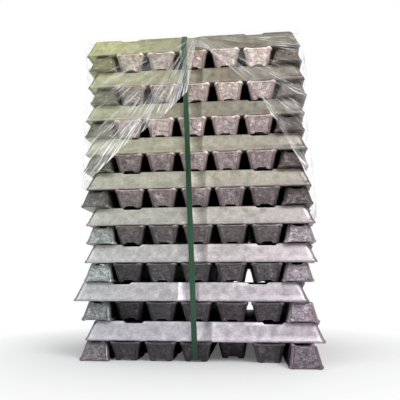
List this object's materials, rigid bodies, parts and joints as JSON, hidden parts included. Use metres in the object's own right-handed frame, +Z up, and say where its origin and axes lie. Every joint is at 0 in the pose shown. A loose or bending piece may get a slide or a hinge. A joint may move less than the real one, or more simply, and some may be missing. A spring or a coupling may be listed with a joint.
{
  "type": "strapped bundle of aluminium ingots",
  "caption": "Bundle of cast aluminium ingots stacked crosswise in layers, tied by a plastic strap and half wrapped in clear stretch film.",
  "frame": {"origin": "on the floor, at the middle of the bundle's footprint", "axes": "+Z up, the height of the stack; -Y is the front, where the strap is seen; X runs left to right"},
  "size_m": [0.7288, 0.8288, 0.999],
  "materials": {
    "ingot": "as cast, dull satin with fine pits",
    "strap": "embossed, semi-gloss",
    "film": "clear, glossy, creased"
  },
  "bodies": {
    "root": {"layer_01": "ingot", "layer_02": "ingot", "layer_03": "ingot", "layer_04": "ingot", "layer_05": "ingot", "layer_06": "ingot", "layer_07": "ingot", "layer_08": "ingot", "layer_09": "ingot", "layer_10": "ingot", "layer_11": "ingot", "layer_12": "ingot", "layer_13": "ingot", "layer_14": "ingot", "layer_15": "ingot", "layer_16": "ingot", "layer_17": "ingot", "layer_18": "ingot", "strap": "strap", "film": "film"}
  },
  "joints": []
}
